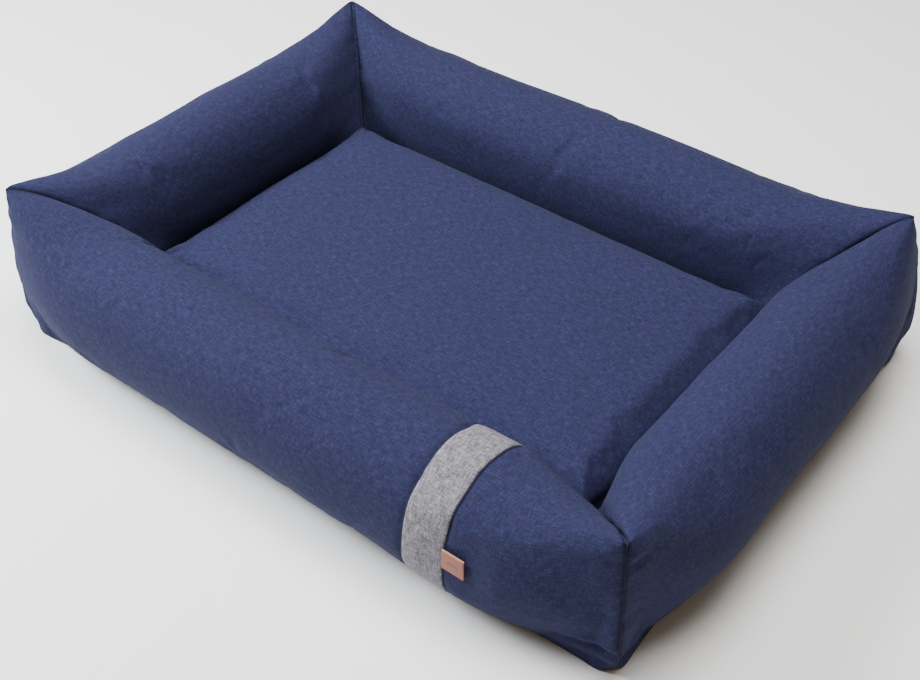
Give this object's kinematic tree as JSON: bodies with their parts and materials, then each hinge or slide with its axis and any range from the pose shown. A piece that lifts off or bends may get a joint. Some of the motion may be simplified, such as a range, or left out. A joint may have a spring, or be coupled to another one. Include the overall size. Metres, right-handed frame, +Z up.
{
  "type": "pet cushion bed",
  "caption": "Rectangular pet bed: stuffed bolsters mitred at raised corners round a loose lift-out cushion, with a contrast band and a leather tag.",
  "frame": {"origin": "centre of the flat underside, on the plane the bed stands on", "axes": "+X along the long sides towards the end with the band, -Y towards the front side that carries the band and tag, +Z up"},
  "size_m": [1.108, 0.8252, 0.229],
  "materials": {
    "navy_canvas": "heathered woven canvas, matt",
    "black_grip_cloth": "dotted grip cloth, matt",
    "white_nonwoven": "thin spunbonded cloth",
    "polyester_fibre": "loose hollow fibre",
    "grey_melange": "melange woven ribbon, matt",
    "tan_leather": "smooth, satin, with raw cut edges",
    "zip_tape": "woven tape, matt",
    "zip_coil": "moulded coil teeth",
    "zip_slider": "dull nickel plate"
  },
  "bodies": {
    "bed": {"base_panel": "black_grip_cloth", "front_bolster_cover": "navy_canvas", "front_bolster_inner_bag": "white_nonwoven", "front_bolster_filling": "polyester_fibre", "front_zip_upper_tape": "zip_tape", "front_zip_lower_tape": "zip_tape", "front_zip_chain": "zip_coil", "right_bolster_cover": "navy_canvas", "right_bolster_inner_bag": "white_nonwoven", "right_bolster_filling": "polyester_fibre", "right_zip_upper_tape": "zip_tape", "right_zip_lower_tape": "zip_tape", "right_zip_chain": "zip_coil", "back_bolster_cover": "navy_canvas", "back_bolster_inner_bag": "white_nonwoven", "back_bolster_filling": "polyester_fibre", "back_zip_upper_tape": "zip_tape", "back_zip_lower_tape": "zip_tape", "back_zip_chain": "zip_coil", "left_bolster_cover": "navy_canvas", "left_bolster_inner_bag": "white_nonwoven", "left_bolster_filling": "polyester_fibre", "left_zip_upper_tape": "zip_tape", "left_zip_lower_tape": "zip_tape", "left_zip_chain": "zip_coil", "front_left_partition": "navy_canvas", "front_right_partition": "navy_canvas", "back_right_partition": "navy_canvas", "back_left_partition": "navy_canvas", "front_band": "grey_melange"},
    "cushion": {"cushion_cover": "navy_canvas", "cushion_inner_bag": "white_nonwoven", "cushion_filling": "polyester_fibre", "cushion_zip_upper_tape": "zip_tape", "cushion_zip_lower_tape": "zip_tape", "cushion_zip_chain": "zip_coil"},
    "front_zip_slider": {"front_zip_slider": "zip_slider"},
    "front_zip_pull": {"front_zip_pull": "zip_slider"},
    "right_zip_slider": {"right_zip_slider": "zip_slider"},
    "right_zip_pull": {"right_zip_pull": "zip_slider"},
    "back_zip_slider": {"back_zip_slider": "zip_slider"},
    "back_zip_pull": {"back_zip_pull": "zip_slider"},
    "left_zip_slider": {"left_zip_slider": "zip_slider"},
    "left_zip_pull": {"left_zip_pull": "zip_slider"},
    "cushion_zip_slider": {"cushion_zip_slider": "zip_slider"},
    "cushion_zip_pull": {"cushion_zip_pull": "zip_slider"},
    "leather_tag": {"leather_tag": "tan_leather"}
  },
  "joints": [
    {"name": "cushion_lift", "type": "slide", "parent": "bed", "child": "cushion", "axis": [0, 0, 1], "range_m": [0, 0.3]},
    {"name": "front_zip_slide", "type": "slide", "parent": "bed", "child": "front_zip_slider", "axis": [-1, 0, 0], "range_m": [0, 0.443], "deforming": ["front_zip_chain"]},
    {"name": "front_zip_pull_hinge", "type": "hinge", "parent": "front_zip_slider", "child": "front_zip_pull", "pos_m": [0.2215, -0.26777, 0.02936], "axis": [0, -0.5331, -0.8461], "range_deg": [0, 175]},
    {"name": "right_zip_slide", "type": "slide", "parent": "bed", "child": "right_zip_slider", "axis": [0, -1, 0], "range_m": [0, 0.277], "deforming": ["right_zip_chain"]},
    {"name": "right_zip_pull_hinge", "type": "hinge", "parent": "right_zip_slider", "child": "right_zip_pull", "pos_m": [0.41077, 0.1385, 0.02936], "axis": [0.5331, 0, -0.8461], "range_deg": [0, 175]},
    {"name": "back_zip_slide", "type": "slide", "parent": "bed", "child": "back_zip_slider", "axis": [1, 0, 0], "range_m": [0, 0.443], "deforming": ["back_zip_chain"]},
    {"name": "back_zip_pull_hinge", "type": "hinge", "parent": "back_zip_slider", "child": "back_zip_pull", "pos_m": [-0.2215, 0.26777, 0.02936], "axis": [0, 0.5331, -0.8461], "range_deg": [0, 175]},
    {"name": "left_zip_slide", "type": "slide", "parent": "bed", "child": "left_zip_slider", "axis": [0, 1, 0], "range_m": [0, 0.277], "deforming": ["left_zip_chain"]},
    {"name": "left_zip_pull_hinge", "type": "hinge", "parent": "left_zip_slider", "child": "left_zip_pull", "pos_m": [-0.41077, -0.1385, 0.02936], "axis": [-0.5331, 0, -0.8461], "range_deg": [0, 175]},
    {"name": "cushion_zip_slide", "type": "slide", "parent": "cushion", "child": "cushion_zip_slider", "axis": [-1, 0, 0], "range_m": [0, 0.366], "deforming": ["cushion_zip_chain"]},
    {"name": "cushion_zip_pull_hinge", "type": "hinge", "parent": "cushion_zip_slider", "child": "cushion_zip_pull", "pos_m": [0.18302, 0.23783, 0.02345], "axis": [0, -0.5003, -0.8659], "range_deg": [0, 175]},
    {"name": "tag_flap", "type": "hinge", "parent": "bed", "child": "leather_tag", "pos_m": [0.3077, -0.4128, 0.098], "axis": [0, 0, -1], "range_deg": [0, 120]}
  ]
}
